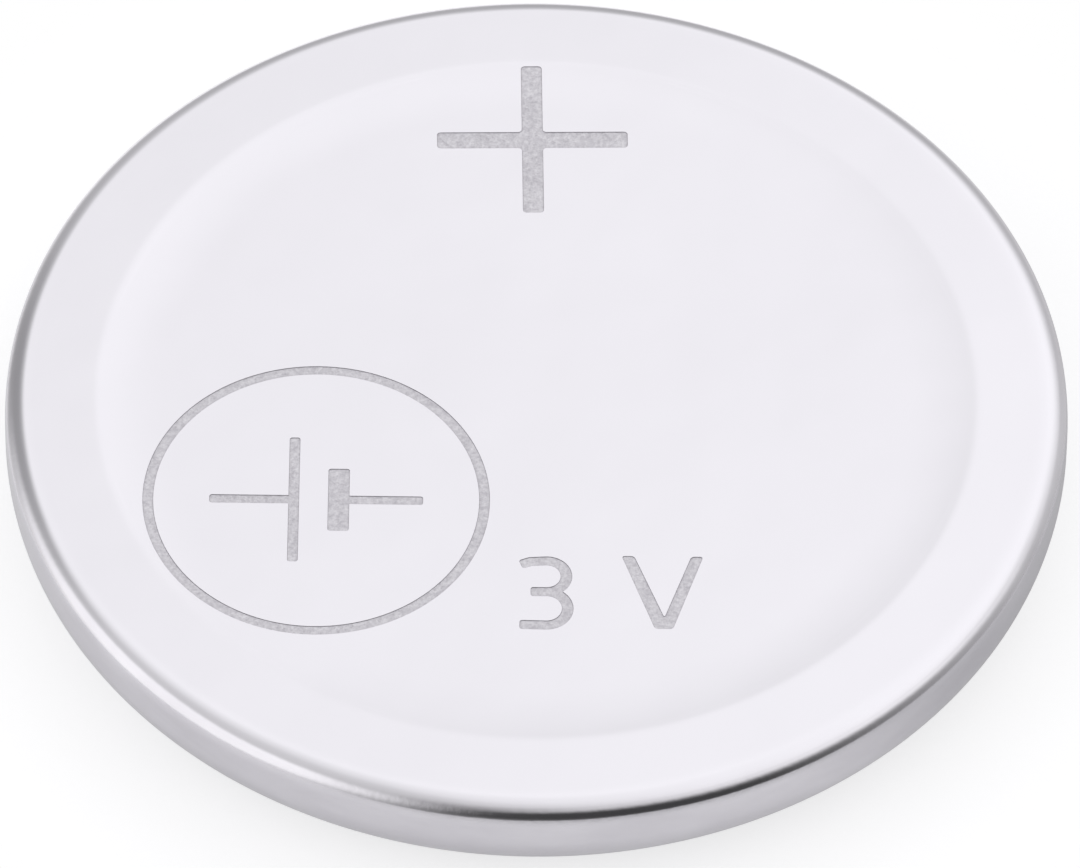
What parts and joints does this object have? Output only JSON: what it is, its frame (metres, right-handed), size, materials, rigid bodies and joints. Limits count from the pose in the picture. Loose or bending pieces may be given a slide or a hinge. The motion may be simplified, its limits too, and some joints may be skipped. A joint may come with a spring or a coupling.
{
  "type": "lithium coin cell",
  "caption": "Flat round button battery: a positive can with a shallow face recess, crimped over a gasket onto a raised negative cap, with the electrode stack inside.",
  "frame": {"origin": "centre of the negative cap's flat contact face, where the cell rests", "axes": "+Z along the cell's axis, from the negative cap towards the positive can's face; +Y towards the polarity mark's edge of the face, +X to the right of it"},
  "size_m": [0.02, 0.02, 0.0025],
  "materials": {
    "can_steel": "nickel-plated stainless sheet, satin face with fine draw lines on the wall",
    "cap_steel": "stainless sheet, fine satin",
    "gasket_plastic": "moulded polypropylene",
    "lithium_metal": "soft rolled metal, dull grey",
    "separator_cloth": "non-woven polypropylene fibres",
    "pellet_powder": "pressed powder, matte black",
    "grid_steel": "expanded stainless sheet"
  },
  "bodies": {
    "root": {"positive_can": "can_steel", "negative_cap": "cap_steel", "sealing_gasket": "gasket_plastic", "lithium_anode": "lithium_metal", "separator": "separator_cloth", "cathode_pellet": "pellet_powder", "collector_grid": "grid_steel"}
  },
  "joints": []
}
